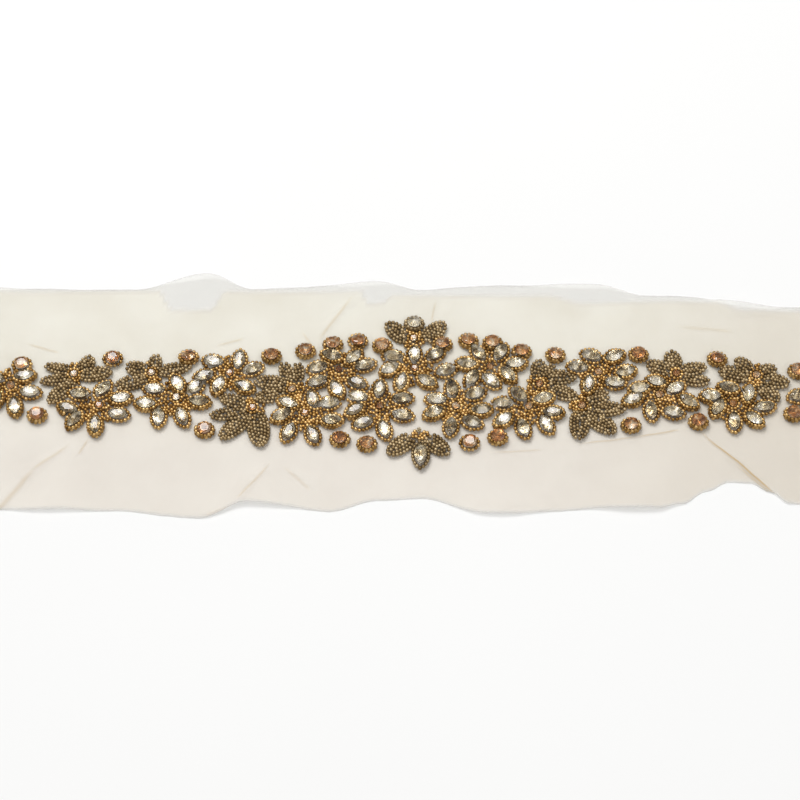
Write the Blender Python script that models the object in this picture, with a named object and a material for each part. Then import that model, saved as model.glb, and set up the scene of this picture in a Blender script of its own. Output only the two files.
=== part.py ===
# Beaded belt: motifs of crystals and seed beads sewn to a strip of sheer organza that lies flat.
# The strip runs along X, its far edge is at +Y, and its underside rests on z = 0.
import math

import bmesh
import bpy

MM = 0.001

# Organza strip
STRIP_LENGTH = 711.2
CLOTH_THICKNESS = 1.0
STRIP_COLUMNS = 56
ROW_PLACES = (0.0, 0.09, 0.2, 0.5, 0.8, 0.91, 1.0)
FLAT_HALF_WIDTH = 46.0

# Beadwork heights, above the floor
SEAM_GAP = 0.3
MOTIF_FOOT = CLOTH_THICKNESS + SEAM_GAP
APRON_TOP = 2.4
LINK_TOP = 2.7
BEAD_TOP = 3.3
PETAL_BEZEL_TOP = 4.4
RING_BEZEL_TOP = 5.0
BLADE_RIDGE = 3.9
NAVETTE_GIRDLE = 5.2
NAVETTE_TOP = 6.4
ROUND_GIRDLE = 5.6
ROUND_TOP = 6.8
HEART_TOP = 4.9
BEVEL_IN = 0.45
BEZEL_IN = 0.9

# Beadwork sizes, seen from above
BEADWORK_SHIFT_Y = 1.0
CLOTH_SHIFT_Y = 1.0
PETAL_LENGTH = 16.2
PETAL_WIDTH = 10.6
NAVETTE_LENGTH = 11.6
NAVETTE_WIDTH = 6.4
NAVETTE_RIDGE = 5.0
RING_DIAMETER = 12.4
ROUND_STONE_DIAMETER = 8.3
ROUND_TABLE_DIAMETER = 5.0
HEART_DIAMETER = 10.0
HEART_STONE_DIAMETER = 5.2
HEART_TABLE_DIAMETER = 3.6
APRON_DIAMETER = 15.0
LINK_WIDTH = 4.0
FAR_PETAL = 15.0
LEAF_SIDES = ((0.0, 0.34), (0.3, 0.5), (0.78, 0.42))
LEAF_RIDGE = (0.2, 0.74)
BLADE_FULLNESS = 1.12

# Prisms that keep neighbouring motifs apart
PRISM_LOW = 0.5
PRISM_HIGH = 9.0

# Strip edges: place along the strip, far edge and near edge from the beadwork's middle line
STRIP_EDGES = (
    # x, far, near
    (-356, 68.0, -74.0),
    (-305, 71.0, -72.5),
    (-242, 67.0, -74.5),
    (-165, 67.0, -76.0),
    (-122, 75.7, -79.7),
    (-96, 67.5, -71.5),
    (-50, 69.0, -75.5),
    (-22, 71.0, -69.0),
    (2, 67.0, -68.5),
    (38, 69.0, -77.5),
    (104, 69.5, -74.7),
    (133, 62.5, -74.5),
    (147, 62.0, -71.0),
    (161, 61.5, -63.5),
    (175, 59.2, -58.0),
    (186, 57.5, -58.8),
    (197, 56.0, -64.5),
    (207, 54.8, -71.5),
    (230, 54.5, -72.5),
    (290, 66.0, -71.0),
    (356, 64.0, -73.0),
)

# Places where an edge of the strip lifts off the floor; side 1 is the far edge, -1 the near edge
EDGE_LIFTS = (
    # x, side, lift, half length
    (-312, -1, 3.0, 40),
    (-262, 1, 3.2, 38),
    (-205, -1, 2.6, 34),
    (-128, 1, 3.4, 30),
    (-92, -1, 3.8, 36),
    (-30, 1, 2.6, 30),
    (44, -1, 2.4, 34),
    (96, 1, 2.8, 40),
    (122, -1, 4.0, 36),
    (190, 1, 3.6, 32),
    (252, -1, 3.0, 40),
    (312, 1, 3.4, 42),
)

# Flowers: a bead-ringed heart, bead-ringed navette crystals and the round crystals they hold
FLOWERS = (
    # name, x, y, petals (x, y, turn), rings (x, y)
    ("flower_00", -233, 3,
     ((-225.5, 9, 10), (-221.5, -1.5, -5), (-229.5, -10.5, 100), (-241, -7, 60), (-242, 8, -20)),
     ((-227.5, 16.5),)),
    ("flower_01", -181.7, -9.5,
     ((-180, 0.5, 50), (-193, -2.5, -10), (-169.5, -5.5, 10), (-170.5, -15.5, -8),
      (-183, -22.5, 95), (-195, -19, 55), (-199, -12, -20)),
     ()),
    ("flower_02", -138, -4.3,
     ((-137.5, 4, 120), (-150.5, 0.5, -5), (-155, -9, -5), (-147.3, -17.3, 88),
      (-134, -17.3, 115), (-124.7, -7.5, -5), (-127.5, 1.5, 45)),
     ()),
    ("flower_03", -108, 11.3,
     ((-122.5, 9, 20), (-117.5, 18.5, -10), (-102.8, 19.5, 80), (-95, 13.5, 20),
      (-114, 3, 70), (-99.5, 2, -20)),
     ()),
    ("flower_04", -45.3, 13.5,
     ((-57.5, 14.5, 20), (-57.5, 5.5, 20), (-46.5, 0.5, 120), (-35, 4.5, -20),
      (-30.5, 16, 15), (-37, 21, 45), (-49.5, 22, -15)),
     ((-49, 30),)),
    ("flower_05", -64.3, -14.5,
     ((-60, -6, 110), (-74, -8.5, -20), (-77.5, -16.5, 25), (-73.3, -26.8, 65),
      (-59.7, -28.4, 112), (-50.5, -8.5, 10), (-49, -19.3, 3)),
     ((-44.3, -31),)),
    ("flower_06", -22, -10,
     ((-22, 0.5, 80), (-34.5, -4.5, -5), (-36, -13, 35), (-31, -20.8, 20),
      (-19.2, -25.3, 108), (-9, -5.5, 3), (-9, -16, -10)),
     ((-29, -34),)),
    ("flower_07", -2, 14.3,
     ((-2, 23, 90), (10, 23, 35), (16, 12.5, 15), (5, 5.5, -30), (-9.5, 5, 78),
      (-16, 13.5, 30), (-14, 21.5, -5)),
     ((-20.5, 29), (14.2, 30))),
    ("flower_08", 21.5, -10,
     ((10.5, -6, 0), (9, -14.5, 25), (19.5, 0.5, 100), (18.5, -23.5, 80),
      (32.5, -2.5, 15), (36, -12.8, 3), (30.5, -20.5, -20)),
     ((29, -33.3),)),
    ("flower_09", 41.7, 15.5,
     ((35, 24, 125), (47.5, 24.3, 55), (28, 16.8, -5), (56.3, 17, 8),
      (31, 7.5, 60), (42, 6, -45), (51.5, 10, -50)),
     ((43.2, 31), (59.8, 25.2))),
    ("flower_10", 63, -10,
     ((57.5, -3, -40), (48.5, -8.5, 0), (71.5, -5.5, 15), (48.5, -19, 35),
      (59.5, -24.5, 110), (72.5, -22, 120), (76.5, -14.5, 0)),
     ((45, -29.9),)),
    ("flower_11", 103.5, 12,
     ((92, 14.8, -8), (100, 22, -20), (113, 21.5, 20), (119, 11.5, 15),
      (112.5, 4.8, -5), (97.5, 3.5, 80)),
     ()),
    ("flower_12", 137.8, -2.6,
     ((136.5, 5.3, -10), (126.5, 0.8, 10), (122.5, -6, 20), (132.5, -13.5, 95),
      (147, 1, 30), (145, -14.2, -12), (154, -7.5, -35)),
     ()),
    ("flower_13", 179.5, -8.5,
     ((177.5, 1.2, -15), (188.5, -2.5, 75), (167, -4, 0), (170.5, -11.5, 60),
      (179.2, -20.2, 90), (190.5, -18.5, -40), (197, -10.8, 8)),
     ()),
    ("flower_14", 227, -8,
     ((217, -3.8, 15), (226, 3, 80), (237.5, -3, 20), (237, -14, -25), (227, -19, 92)),
     ()),
)

# Leaf sprays: a bead-ringed heart and blades filled with rows of beads; crests hold a crystal too
SPRAYS = (
    # name, x, y, blades (base x, base y, tip x, tip y, width), petals (x, y, turn), rings (x, y)
    ("leaf_spray_01", -197.4, 10.8,
     ((-199, 13, -215, 16, 6.5), (-199, 8, -217, 5.5, 7), (-198, 6, -211, -8.5, 9),
      (-192.5, 13, -187.5, 22.5, 8.5), (-194, 10, -175, 12, 9)),
     (), ()),
    ("leaf_spray_02", -153, 11.5,
     ((-157, 13, -168, 16, 9), (-156, 8, -173.5, 2, 9.5), (-152, 14, -150, 23.5, 7.5),
      (-149, 12, -129.5, 16, 8)),
     (), ()),
    ("leaf_spray_03", -72, 1,
     ((-76, 4.5, -94, 6, 9), (-76, -1, -93.5, -5.5, 9), (-73, 6, -78, 18.5, 8),
      (-70, 6, -68.5, 18, 8)),
     (), ()),
    ("leaf_spray_04", -94.3, -11,
     ((-99, -8, -113.5, -4.5, 8), (-98, -13, -119, -16.5, 8), (-97, -16, -112.5, -31, 10),
      (-92, -15, -88.7, -36, 12)),
     (), ()),
    ("leaf_spray_05", 69.5, 4.3,
     ((75, 9, 91, 8.5, 9), (75, 2, 91.5, -5, 9), (69, 9, 70, 20, 9), (73, 9, 78, 17, 7)),
     (), ()),
    ("leaf_spray_06", 93.3, -9.5,
     ((97, -6, 109.5, -2.5, 9), (96, -11, 118.5, -12, 9.5), (96, -14, 112, -27, 11),
      (92.7, -13, 90.5, -31.5, 11)),
     (), ()),
    ("leaf_spray_07", 148.3, 11,
     ((148, 15, 145, 26, 9.5), (144, 13, 131, 17.5, 9), (152, 13, 166, 15.5, 8),
      (152, 8, 167.5, 5.5, 8)),
     (), ()),
    ("leaf_spray_08", 194, 10,
     ((190.5, 13.5, 182.5, 20.5, 8.5), (189, 9, 172, 13, 9.5), (197, 12, 206, 14.5, 8),
      (198, 8, 213, 4, 9), (197, 4, 205, -8, 10)),
     (), ()),
    ("crest_far", -2.5, 34,
     ((-6, 33, -18.5, 44, 10), (4, 33, 16, 44.5, 10)),
     (), ((-2, 43.5),)),
    ("crest_near", 1, -28.5,
     ((-4, -30, -17.5, -40.5, 10), (5, -30, 17.5, -40.5, 10)),
     ((1.3, -40.8, 90),), ()),
)

# Single round crystals, each ringed with beads
RING_STONES = (
    # name, x, y
    ("ring_stone_01", -216.5, -15.8),
    ("ring_stone_02", -175.5, 20.3),
    ("ring_stone_03", -132, 21.5),
    ("ring_stone_04", -121, -25.2),
    ("ring_stone_05", -84.3, 22.3),
    ("ring_stone_06", -64.7, 25.5),
    ("ring_stone_07", -34.6, 31.8),
    ("ring_stone_08", 29.2, 32.3),
    ("ring_stone_09", 79.2, 22.9),
    ("ring_stone_10", 127, 23.2),
    ("ring_stone_11", 172.3, 20.3),
    ("ring_stone_12", 120.6, -22.2),
    ("ring_stone_13", 159, -20),
    ("ring_stone_14", 218, 12.5),
    ("ring_stone_15", 213.5, -15),
)

# The spray with a larger navette crystal: its length and width
LARGE_CRYSTALS = {"crest_near": (14.6, 7.0)}

# Border repeats towards the two ends of the strip
REPEATS = (
    # new name, motif repeated, shift along X
    ("flower_15", "flower_01", -86),
    ("leaf_spray_09", "leaf_spray_01", -86),
    ("ring_stone_16", "ring_stone_02", -86),
    ("leaf_spray_10", "leaf_spray_08", 46),
    ("flower_16", "flower_13", 91),
    ("leaf_spray_11", "leaf_spray_08", 91),
    ("ring_stone_17", "ring_stone_11", 91),
)

FINISHES = {
    # name: colour, roughness, metallic
    "organza": ((0.83, 0.79, 0.66), 0.7, 0.0),
    "gold_beads": ((0.42, 0.28, 0.11), 0.35, 0.85),
    "pewter_beads": ((0.27, 0.23, 0.13), 0.38, 0.85),
}


def clear_scene():
    for thing in list(bpy.data.objects):
        bpy.data.objects.remove(thing, do_unlink=True)


def finish(name):
    """Return the material of a finish, made once."""
    found = bpy.data.materials.get(name)
    if found:
        return found
    colour, roughness, metallic = FINISHES[name]
    made = bpy.data.materials.new(name)
    made.use_nodes = True
    shader = made.node_tree.nodes["Principled BSDF"]
    shader.inputs["Base Color"].default_value = (*colour, 1.0)
    shader.inputs["Roughness"].default_value = roughness
    shader.inputs["Metallic"].default_value = metallic
    return made


def new_object(name, bm, x=0.0, y=0.0, turn=0.0):
    """Turn a bmesh in millimetres into an object that stands at (x, y), turned about Z."""
    bmesh.ops.recalc_face_normals(bm, faces=bm.faces)
    bmesh.ops.scale(bm, vec=(MM, MM, MM), verts=bm.verts)
    mesh = bpy.data.meshes.new(name)
    bm.to_mesh(mesh)
    bm.free()
    made = bpy.data.objects.new(name, mesh)
    made.location = (x * MM, (y + BEADWORK_SHIFT_Y) * MM, 0.0)
    made.rotation_euler = (0.0, 0.0, math.radians(turn))
    bpy.context.scene.collection.objects.link(made)
    return made


# Outlines, as lists of (u, v) in millimetres


def oval(length, width, fullness=1.0):
    """Eight points of an oval with its ends on the long axis."""
    half = math.sqrt(0.5) * fullness
    u, v = length / 2, width / 2
    return [(u, 0.0), (u * half, v * half), (0.0, v), (-u * half, v * half),
            (-u, 0.0), (-u * half, -v * half), (0.0, -v), (u * half, -v * half)]


def leaf(length, width):
    """A blade with a blunt base at u = 0 and its tip at u = length."""
    near = [(length * along, -width * out) for along, out in LEAF_SIDES]
    far = [(length * along, width * out) for along, out in reversed(LEAF_SIDES)]
    return near + [(length, 0.0)] + far


def grown(outline, margin):
    """The outline moved outwards by the margin, corner by corner."""
    count = len(outline)
    moved = []
    for index, (u, v) in enumerate(outline):
        before = outline[index - 1]
        after = outline[(index + 1) % count]
        first = unit(u - before[0], v - before[1])
        second = unit(after[0] - u, after[1] - v)
        normal = unit(first[1] + second[1], -first[0] - second[0])
        stretch = 1.0 / max(0.5, normal[0] * first[1] - normal[1] * first[0])
        moved.append((u + normal[0] * margin * stretch, v + normal[1] * margin * stretch))
    return moved


def unit(u, v):
    size = math.hypot(u, v)
    return u / size, v / size


# Closed forms


def add_ring(bm, outline, z):
    return [bm.verts.new((u, v, z)) for u, v in outline]


def add_side(bm, lower, upper):
    for index, corner in enumerate(lower):
        after = (index + 1) % len(lower)
        bm.faces.new((corner, lower[after], upper[after], upper[index]))


def add_roof(bm, ring, low_u, high_u, z):
    """Close a ring with a ridge that runs along U from low_u to high_u."""
    low = bm.verts.new((low_u, 0.0, z))
    high = bm.verts.new((high_u, 0.0, z))
    middle = (low_u + high_u) / 2
    for index, corner in enumerate(ring):
        after = ring[(index + 1) % len(ring)]
        ends = {ridge_end(corner, middle, low, high), ridge_end(after, middle, low, high)}
        ends.discard(None)
        if len(ends) == 1:
            bm.faces.new((corner, after, ends.pop()))
        else:
            first = ridge_end(corner, middle, low, high)
            second = low if first is high else high
            bm.faces.new((corner, after, second, first))
        if ridge_end(corner, middle, low, high) is None:
            before = low if corner.co.y < 0 else high
            follow = high if corner.co.y < 0 else low
            bm.faces.new((corner, follow, before))


def ridge_end(corner, middle, low, high):
    """The ridge end that a corner leans to, or None halfway along."""
    if abs(corner.co.x - middle) < 0.01:
        return None
    return high if corner.co.x > middle else low


def prism(outline, name, place):
    bm = bmesh.new()
    wide = grown(outline, SEAM_GAP)
    lower = add_ring(bm, wide, PRISM_LOW)
    upper = add_ring(bm, wide, PRISM_HIGH)
    bm.faces.new(list(reversed(lower)))
    add_side(bm, lower, upper)
    bm.faces.new(upper)
    return new_object(name, bm, *place)


def mounted_form(outline, lean_in, height):
    """The bead edging that a form starts from: its bmesh and its top ring."""
    bm = bmesh.new()
    foot = add_ring(bm, outline, MOTIF_FOOT)
    top = add_ring(bm, grown(outline, -lean_in), height)
    bm.faces.new(list(reversed(foot)))
    add_side(bm, foot, top)
    return bm, top


def petal_form(piece):
    """A navette crystal in its bezel of two bead rows, the upper one set in."""
    bm, edging = mounted_form(piece["outline"], BEZEL_IN, PETAL_BEZEL_TOP)
    stone = add_ring(bm, oval(*piece["stone"]), PETAL_BEZEL_TOP)
    girdle = add_ring(bm, oval(*piece["stone"]), NAVETTE_GIRDLE)
    add_side(bm, edging, stone)
    add_side(bm, stone, girdle)
    add_roof(bm, girdle, -NAVETTE_RIDGE / 2, NAVETTE_RIDGE / 2, NAVETTE_TOP)
    return new_object("petal", bm, *piece["place"])


def blade_form(piece):
    bm, edging = mounted_form(piece["outline"], BEVEL_IN, BEAD_TOP)
    length = piece["length"]
    add_roof(bm, edging, LEAF_RIDGE[0] * length, LEAF_RIDGE[1] * length, BLADE_RIDGE)
    return new_object("blade", bm, *piece["place"])


def round_form(piece):
    """A stack of rings, foot first, each a diameter and a height."""
    bm = bmesh.new()
    rings = [add_ring(bm, oval(across, across), z) for across, z in piece["steps"]]
    bm.faces.new(list(reversed(rings[0])))
    for lower, upper in zip(rings, rings[1:]):
        add_side(bm, lower, upper)
    bm.faces.new(rings[-1])
    return new_object("round", bm, *piece["place"])


def link_form(piece):
    bm = bmesh.new()
    foot = add_ring(bm, piece["outline"], MOTIF_FOOT)
    top = add_ring(bm, piece["outline"], LINK_TOP)
    bm.faces.new(list(reversed(foot)))
    add_side(bm, foot, top)
    bm.faces.new(top)
    return new_object("link", bm, *piece["place"])


# Pieces of a motif: where each lies, its outline and what makes its form


def petal_piece(x, y, turn, length=NAVETTE_LENGTH, width=NAVETTE_WIDTH):
    petal_length = PETAL_LENGTH + length - NAVETTE_LENGTH
    petal_width = PETAL_WIDTH + width - NAVETTE_WIDTH
    return {"make": petal_form, "place": (x, y, turn), "outline": oval(petal_length, petal_width, 1.04),
            "stone": (length, width), "middle": (x, y), "reach": petal_length / 2}


def ring_piece(x, y):
    steps = ((RING_DIAMETER, MOTIF_FOOT), (RING_DIAMETER - 2 * BEZEL_IN, RING_BEZEL_TOP),
             (ROUND_STONE_DIAMETER, RING_BEZEL_TOP), (ROUND_STONE_DIAMETER, ROUND_GIRDLE),
             (ROUND_TABLE_DIAMETER, ROUND_TOP))
    return {"make": round_form, "place": (x, y, 0.0), "outline": oval(RING_DIAMETER, RING_DIAMETER),
            "steps": steps, "middle": (x, y), "reach": RING_DIAMETER / 2}


def heart_piece(x, y):
    """A small crystal in its bead ring, over the low bed of beads that the petals grow from."""
    steps = ((APRON_DIAMETER, MOTIF_FOOT), (APRON_DIAMETER, APRON_TOP),
             (HEART_DIAMETER, APRON_TOP), (HEART_DIAMETER - 2 * BEVEL_IN, BEAD_TOP),
             (HEART_STONE_DIAMETER, BEAD_TOP), (HEART_TABLE_DIAMETER, HEART_TOP))
    return {"make": round_form, "place": (x, y, 0.0), "outline": oval(APRON_DIAMETER, APRON_DIAMETER),
            "steps": steps, "middle": (x, y), "reach": APRON_DIAMETER / 2}


def link_piece(x, y, end_x, end_y):
    """The few beads that tie a round crystal to its flower."""
    length = math.hypot(end_x - x, end_y - y)
    turn = math.degrees(math.atan2(end_y - y, end_x - x))
    side = LINK_WIDTH / 2
    outline = [(0.0, -side), (length, -side), (length, side), (0.0, side)]
    return {"make": link_form, "place": (x, y, turn), "outline": outline,
            "middle": ((x + end_x) / 2, (y + end_y) / 2), "reach": length / 2 + side}


def blade_piece(base_x, base_y, tip_x, tip_y, width):
    length = math.hypot(tip_x - base_x, tip_y - base_y)
    turn = math.degrees(math.atan2(tip_y - base_y, tip_x - base_x))
    middle = ((base_x + tip_x) / 2, (base_y + tip_y) / 2)
    return {"make": blade_form, "place": (base_x, base_y, turn), "outline": leaf(length, width * BLADE_FULLNESS),
            "length": length, "middle": middle, "reach": length / 2 + 1}


def motif_table():
    """Every motif by name: its finish and its pieces, in the order in which they keep their outline."""
    motifs = {}
    for name, x, y in RING_STONES:
        motifs[name] = ("gold_beads", [("ring", x, y)])
    for name, x, y, petals, rings in FLOWERS:
        rows = [("heart", x, y)] + [("petal", *row) for row in petals]
        rows += [("ring", *row) for row in rings]
        rows += [("link", *row, *nearest_petal(row, petals)) for row in rings]
        far = [row for row in petals if math.dist(row[:2], (x, y)) > FAR_PETAL]
        rows += [("link", *row[:2], x, y) for row in far]
        motifs[name] = ("gold_beads", rows)
    for name, x, y, blades, petals, rings in SPRAYS:
        rows = [("heart", x, y)] + [("blade", *row) for row in blades]
        rows += [("petal", *row, *LARGE_CRYSTALS.get(name, ())) for row in petals]
        motifs[name] = ("pewter_beads", rows + [("ring", *row) for row in rings])
    for name, source, shift in REPEATS:
        colour, rows = motifs[source]
        motifs[name] = (colour, [shifted(row, shift) for row in rows])
    order = ("ring", "flower", "crest", "leaf")
    return dict(sorted(motifs.items(), key=lambda item: order.index(item[0].split("_")[0])))


def nearest_petal(ring, petals):
    return min((petal[:2] for petal in petals), key=lambda middle: math.dist(ring, middle))


def shifted(row, shift):
    if row[0] in ("blade", "link"):
        return (row[0], row[1] + shift, row[2], row[3] + shift, *row[4:])
    return (row[0], row[1] + shift, *row[2:])


MAKERS = {"ring": ring_piece, "heart": heart_piece, "petal": petal_piece, "blade": blade_piece,
          "link": link_piece}


def near(first, second):
    distance = math.dist(first["middle"], second["middle"])
    return distance < first["reach"] + second["reach"] + 1.0


def join(target, others, operation):
    """Union or difference of a target with several others, left on the target as its mesh."""
    if not others:
        return
    group = bpy.data.collections.new(operation)
    bpy.context.scene.collection.children.link(group)
    for other in others:
        group.objects.link(other)
    cut = target.modifiers.new(operation, "BOOLEAN")
    cut.operation = operation
    cut.solver = "EXACT"
    cut.operand_type = "COLLECTION"
    cut.collection = group
    graph = bpy.context.evaluated_depsgraph_get()
    mesh = bpy.data.meshes.new_from_object(target.evaluated_get(graph))
    target.modifiers.clear()
    target.data = mesh
    for other in others:
        bpy.data.objects.remove(other, do_unlink=True)
    bpy.data.collections.remove(group)


def keep_largest(thing):
    """Drop the crumbs that a cut leaves beside the main body."""
    bm = bmesh.new()
    bm.from_mesh(thing.data)
    left = set(bm.verts)
    bodies = []
    while left:
        body = {left.pop()}
        edge_of = list(body)
        while edge_of:
            corner = edge_of.pop()
            for edge in corner.link_edges:
                other = edge.other_vert(corner)
                if other in left:
                    left.remove(other)
                    body.add(other)
                    edge_of.append(other)
        bodies.append(body)
    bodies.sort(key=len)
    crumbs = [corner for body in bodies[:-1] for corner in body]
    bmesh.ops.delete(bm, geom=crumbs, context="VERTS")
    bmesh.ops.dissolve_limit(bm, angle_limit=math.radians(0.2), verts=bm.verts, edges=bm.edges)
    bm.to_mesh(thing.data)
    bm.free()


def build_motif(name, colour, pieces, settled):
    forms = [piece["make"](piece) for piece in pieces]
    motif = forms[0]
    motif.name = name
    join(motif, forms[1:], "UNION")
    close = [other for other in settled if any(near(other, piece) for piece in pieces)]
    join(motif, [prism(other["outline"], "clearance", other["place"]) for other in close], "DIFFERENCE")
    keep_largest(motif)
    motif.data.name = name
    motif.data.materials.clear()
    motif.data.materials.append(finish(colour))


def build_beadwork():
    settled = []
    for name, (colour, rows) in motif_table().items():
        pieces = [MAKERS[row[0]](*row[1:]) for row in rows]
        build_motif(name, colour, pieces, settled)
        settled += pieces


# Organza strip


def between(table, x, column):
    """Read a column of a table at x, eased between its rows."""
    for before, after in zip(table, table[1:]):
        if x <= after[0]:
            share = (x - before[0]) / (after[0] - before[0])
            share = share * share * (3 - 2 * share)
            return before[column] + (after[column] - before[column]) * share
    return table[-1][column]


def lift(x, y):
    """Height of the strip's underside above the floor."""
    height = 0.0
    for place, side, rise, half_length in EDGE_LIFTS:
        along = abs(x - place) / half_length
        reach = max(0.0, side * y - FLAT_HALF_WIDTH)
        edge = between(STRIP_EDGES, x, 1 if side > 0 else 2)
        if along < 1.0 and reach > 0.0:
            across = reach / (abs(edge) - FLAT_HALF_WIDTH)
            height += rise * (0.5 + 0.5 * math.cos(math.pi * along)) * across ** 1.5
    return height


def strip_row_place(x, share):
    """Distance from the beadwork's middle line at a share of the width; the middle stays flat."""
    far = between(STRIP_EDGES, x, 1)
    close = between(STRIP_EDGES, x, 2)
    return close + (far - close) * share


def build_strip():
    bm = bmesh.new()
    layers = {}
    for top in (False, True):
        for column in range(STRIP_COLUMNS + 1):
            x = STRIP_LENGTH * (column / STRIP_COLUMNS - 0.5)
            for row, share in enumerate(ROW_PLACES):
                y = strip_row_place(x, share)
                z = lift(x, y) + (CLOTH_THICKNESS if top else 0.0)
                layers[top, column, row] = bm.verts.new((x, y, z))
    last_row = len(ROW_PLACES) - 1
    for column in range(STRIP_COLUMNS):
        for row in range(last_row):
            corners = ((column, row), (column + 1, row), (column + 1, row + 1), (column, row + 1))
            bm.faces.new([layers[(True, *corner)] for corner in corners])
            bm.faces.new([layers[(False, *corner)] for corner in reversed(corners)])
    rim = [(column, 0) for column in range(STRIP_COLUMNS)]
    rim += [(STRIP_COLUMNS, row) for row in range(last_row)]
    rim += [(column, last_row) for column in range(STRIP_COLUMNS, 0, -1)]
    rim += [(0, row) for row in range(last_row, 0, -1)]
    for first, second in zip(rim, rim[1:] + rim[:1]):
        bm.faces.new((layers[(False, *first)], layers[(False, *second)],
                      layers[(True, *second)], layers[(True, *first)]))
    strip = new_object("organza_strip", bm, 0.0, CLOTH_SHIFT_Y)
    strip.data.materials.append(finish("organza"))
    strip.data.shade_smooth()
    strip.data.set_sharp_from_angle(angle=math.radians(40))


clear_scene()
build_strip()
build_beadwork()
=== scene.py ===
import math
import random

import bpy
import numpy as np
from mathutils import Euler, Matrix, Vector


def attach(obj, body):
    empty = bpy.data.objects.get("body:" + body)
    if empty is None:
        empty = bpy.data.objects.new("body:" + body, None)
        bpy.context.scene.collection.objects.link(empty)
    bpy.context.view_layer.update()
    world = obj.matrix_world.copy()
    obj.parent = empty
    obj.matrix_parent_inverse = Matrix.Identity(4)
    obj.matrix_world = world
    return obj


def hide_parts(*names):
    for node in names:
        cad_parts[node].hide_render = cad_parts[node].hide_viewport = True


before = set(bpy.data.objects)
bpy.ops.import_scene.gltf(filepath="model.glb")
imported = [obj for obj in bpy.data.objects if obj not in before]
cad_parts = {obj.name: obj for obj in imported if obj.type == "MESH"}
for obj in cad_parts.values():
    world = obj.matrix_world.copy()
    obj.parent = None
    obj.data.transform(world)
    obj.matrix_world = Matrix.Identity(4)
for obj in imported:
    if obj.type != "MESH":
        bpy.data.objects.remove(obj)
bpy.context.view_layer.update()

# Beaded belt: single seed beads, set crystals and sheer organza over the solids of the part.
# Lengths are in millimetres, and places are from the middle of the beadwork. new_mesh turns them
# into metres and moves every piece by the first shift; the cloth lies farther by the second one.
MM = 0.001
BEADWORK_SHIFT_Y = 1.0
CLOTH_SHIFT_Y = 1.0
SEED = 47

# Finish numbers in a form of beads, and in one of crystals, whose foil has the next number
GOLD, PEWTER = 0, 1
CLEAR, CHAMPAGNE = 0, 2

# Seed beads: size, height over the floor, and how far one may be off; nod and veer in radians
BEAD_WIDTH = 2.3
BEAD_LENGTH = 1.98
BEAD_SIDES = 8
BEAD_FOOT = 1.1
BEAD_MIDDLE = BEAD_FOOT + BEAD_WIDTH / 2
BEAD_PITCH = 2.15
BEAD_NOD = 0.16
BEAD_VEER = 0.14
BEAD_STRAY = 0.09
BEAD_SIZES = (0.95, 1.05)
BEAD_PROFILE = (
    # shares of the length and of the width, end to end
    (-0.5, 0.18), (-0.43, 0.34), (-0.24, 0.46), (0.0, 0.5), (0.24, 0.46), (0.43, 0.34), (0.5, 0.18),
)

# Least distances between the middles of two beads
BEAD_SPACE = 1.72
FILL_SPACE = 1.84
CLOSE_FILL_SPACE = 1.5
UPPER_SPACE = 1.6
BLADE_SPACE = 1.76
SUNK_SPACE = 1.4

# Beads that fill the room about a heart
FLOWER_FILL = 11.0
LEAF_FILL = 7.0
FILL_TRIES = 500
FILL_DEPTH = 0.3
FILL_HEIGHTS = (-0.05, 0.25)
KNOT_REACH = 5.2
KNOT_TRIES = 200
KNOT_RISE = 0.5
KNOT_SHIFT = 0.5
KNOT_DEPTH = 0.55

# Rows round a crystal, and rows in a blade
ROW_HEIGHTS = (-0.08, 0.2)
ROW_MARGIN = 1.05
SINGLE_ROW_RISE = 0.55
UPPER_ROW_RISE = 1.85
UPPER_ROW_IN = 0.35
HEART_ROW_RISE = 0.3
HEART_ROW_OUT = 0.1
DOUBLE_SHARE = 0.4
RING_DOUBLE_SHARE = 0.7
RING_DEPTH = 0.85
FAR_SIDE = 1.0
BLADE_ROW = 1.9
BLADE_HEIGHTS = (-0.08, 0.1)
BLADE_INSET = BEAD_WIDTH * 0.42
BLADE_START = 0.3
BLADE_SHORTER = 0.9
BLADE_STEPS = 60
BLADE_TRIES = 300
BLADE_FULLNESS = 1.12
BLADE_DOME = 0.8
SUNK_DEPTH = 0.75
SUNK_VEER = 0.4

# A blade's outline: share of its length where it is widest, and shares of its width
WIDEST = 0.3
BASE_WIDTH = 0.34
BASE_SWELL = 0.16
TIP_ROUNDNESS = 2.6

# Room that a crystal keeps clear about itself, and the cells by which beads are looked up
STONE_ROOM = 0.85
STONE_NEAR = 1.2
GROUND_CELL = 3

# Crystals and the cups that they sit in: widths, heights over the floor, and angles in degrees
NAVETTE_LENGTH = 11.6
NAVETTE_WIDTH = 6.4
ROUND_WIDTH = 8.2
TINY_WIDTH = 2.8
HEART_WIDTH = 4.4
GIRDLE = 5.2
TABLE = 6.4
ROUND_GIRDLE = 5.6
ROUND_TABLE = 6.8
HEART_GIRDLE = 3.5
HEART_TABLE = 4.7
CULET = 1.7
NAVETTE_KEEL = 3.0
ROUND_KEEL = 0.25
GIRDLE_EDGE = 0.25
ROUND_LEAN = 10.0
TILT = 8.5
SIDEWAYS_SHARE = 0.6
ROUND_FACETS = 12
HEART_FACETS = 8
CUP_SIDES = 16
CUP_FOOT = 1.15
CUP_BELLY_DROP = 2.0
CUP_RIM_DROP = 0.45

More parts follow.
